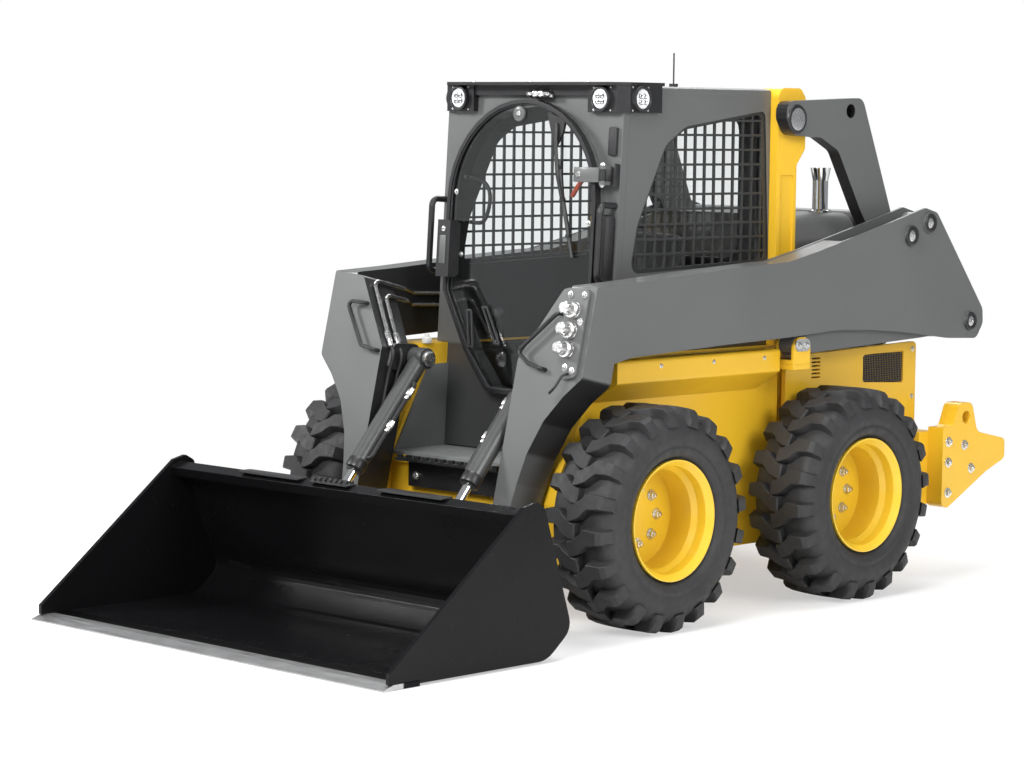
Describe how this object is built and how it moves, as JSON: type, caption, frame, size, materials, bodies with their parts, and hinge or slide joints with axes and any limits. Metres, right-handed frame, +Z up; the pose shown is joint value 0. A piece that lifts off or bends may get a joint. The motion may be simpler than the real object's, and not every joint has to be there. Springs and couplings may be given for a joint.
{
  "type": "skid steer loader",
  "caption": "Compact wheeled skid steer loader with an enclosed cab, vertical-lift arms, a quick attach and a wide bucket lowered to the ground.",
  "frame": {"origin": "on the ground, in the middle of the machine's length and width", "axes": "+X forward to the bucket's cutting edge, +Y to the machine's left, +Z up"},
  "size_m": [3.804, 1.884, 2.116],
  "materials": {
    "yellow_paint": "gloss",
    "grey_paint": "gloss",
    "black_paint": "satin",
    "dark_paint": "satin",
    "black_plastic": "matte",
    "bare_steel": "satin",
    "chrome_rod": "gloss",
    "lamp_glass": "gloss",
    "smoked_glass": "gloss",
    "seat_fabric": "matte",
    "tyre_rubber": "matte"
  },
  "bodies": {
    "chassis": {"main_frame": "yellow_paint", "chaincases": "yellow_paint", "link_brackets": "yellow_paint", "uprights": "yellow_paint", "side_panels": "yellow_paint", "counterweights": "yellow_paint", "engine_block": "dark_paint", "hood": "grey_paint", "exhaust": "bare_steel", "axle_housings": "dark_paint", "front_step": "black_paint", "footwell": "black_plastic", "cab_sides": "grey_paint", "cab_front": "grey_paint", "cab_rear": "grey_paint", "rear_glass": "smoked_glass", "roof": "grey_paint", "visor": "black_paint", "work_lamps": "lamp_glass", "side_screens": "dark_paint", "seat": "seat_fabric", "controls": "black_plastic", "antenna": "black_paint", "grab_handles": "black_paint"},
    "cab_door": {"door_frame": "black_paint", "door_glass": "smoked_glass", "door_handle": "black_plastic"},
    "rear_service_door": {"rear_door": "grey_paint", "rear_grille": "black_paint"},
    "upper_link": {"rear_link": "grey_paint"},
    "boom": {"arm_left": "grey_paint", "arm_right": "grey_paint", "arm_cross_tube": "grey_paint", "guard_hoops": "black_paint", "coupler_block": "bare_steel", "hydraulic_tubes": "bare_steel"},
    "lower_link": {"lower_links": "grey_paint"},
    "lift_barrel": {"lift_barrels": "dark_paint"},
    "lift_rod": {"lift_rods": "chrome_rod"},
    "tool": {"quick_attach": "black_paint", "bucket": "black_paint", "cutting_edge": "bare_steel"},
    "tilt_barrel": {"tilt_barrels": "grey_paint"},
    "tilt_rod": {"tilt_rods": "chrome_rod"},
    "wheel_front_left": {"rim_front_left": "yellow_paint", "tyre_front_left": "tyre_rubber"},
    "wheel_front_right": {"rim_front_right": "yellow_paint", "tyre_front_right": "tyre_rubber"},
    "wheel_rear_left": {"rim_rear_left": "yellow_paint", "tyre_rear_left": "tyre_rubber"},
    "wheel_rear_right": {"rim_rear_right": "yellow_paint", "tyre_rear_right": "tyre_rubber"}
  },
  "joints": [
    {"name": "boom_lift", "type": "hinge", "parent": "chassis", "child": "upper_link", "pos_m": [-0.652, 0, 1.869], "axis": [0, 1, 0], "range_deg": [0, 89.01]},
    {"name": "boom_turn", "type": "hinge", "parent": "upper_link", "child": "boom", "pos_m": [-1.225, 0, 1.409], "axis": [0, -1, 0], "range_deg": [0, 132.53]},
    {"name": "lower_link_turn", "type": "hinge", "parent": "chassis", "child": "lower_link", "pos_m": [-0.562, 0, 1], "axis": [0, 1, 0], "range_deg": [0, 52.6]},
    {"name": "lift_barrel_turn", "type": "hinge", "parent": "chassis", "child": "lift_barrel", "pos_m": [-0.882, 0, 0.65], "axis": [0, 1, 0], "range_deg": [0, 42.59]},
    {"name": "lift_rod_slide", "type": "slide", "parent": "lift_barrel", "child": "lift_rod", "axis": [-0.817, 0, 0.5767], "range_m": [0, 0.5491]},
    {"name": "bucket_tilt", "type": "hinge", "parent": "boom", "child": "tool", "pos_m": [0.848, 0, 0.215], "axis": [0, 1, 0], "range_deg": [-25, 80]},
    {"name": "tilt_barrel_turn", "type": "hinge", "parent": "boom", "child": "tilt_barrel", "pos_m": [0.538, 0, 0.94], "axis": [0, 1, 0], "range_deg": [-1.27, 4.02]},
    {"name": "tilt_rod_slide", "type": "slide", "parent": "tilt_barrel", "child": "tilt_rod", "axis": [0.6502, 0, -0.7598], "range_m": [-0.0925, 0.2948]},
    {"name": "cab_door_hinge", "type": "hinge", "parent": "chassis", "child": "cab_door", "pos_m": [0.37598, 0.428, 0.77583], "axis": [-0.0593, 0, 0.9982], "range_deg": [0, 38]},
    {"name": "rear_door_hinge", "type": "hinge", "parent": "chassis", "child": "rear_service_door", "pos_m": [-1.502, 0.375, 0.95], "axis": [0, 0, -1], "range_deg": [0, 100]},
    {"name": "wheel_front_left_spin", "type": "hinge", "parent": "chassis", "child": "wheel_front_left", "pos_m": [0.368, 0.712, 0.415], "axis": [0, 1, 0], "continuous": true},
    {"name": "wheel_front_right_spin", "type": "hinge", "parent": "chassis", "child": "wheel_front_right", "pos_m": [0.368, -0.712, 0.415], "axis": [0, 1, 0], "continuous": true},
    {"name": "wheel_rear_left_spin", "type": "hinge", "parent": "chassis", "child": "wheel_rear_left", "pos_m": [-0.772, 0.712, 0.415], "axis": [0, 1, 0], "continuous": true},
    {"name": "wheel_rear_right_spin", "type": "hinge", "parent": "chassis", "child": "wheel_rear_right", "pos_m": [-0.772, -0.712, 0.415], "axis": [0, 1, 0], "continuous": true}
  ],
  "couplings": [
    {"joint": "boom_turn", "follows": "boom_lift", "ratio": 1.4887},
    {"joint": "lower_link_turn", "follows": "boom_lift", "ratio": 0.59072},
    {"joint": "lift_barrel_turn", "follows": "boom_lift", "ratio": 0.4782},
    {"joint": "lift_rod_slide", "follows": "boom_lift", "m_per_rad": 0.3531},
    {"joint": "tilt_barrel_turn", "follows": "bucket_tilt", "ratio": 0.05},
    {"joint": "tilt_rod_slide", "follows": "bucket_tilt", "m_per_rad": 0.2108}
  ]
}
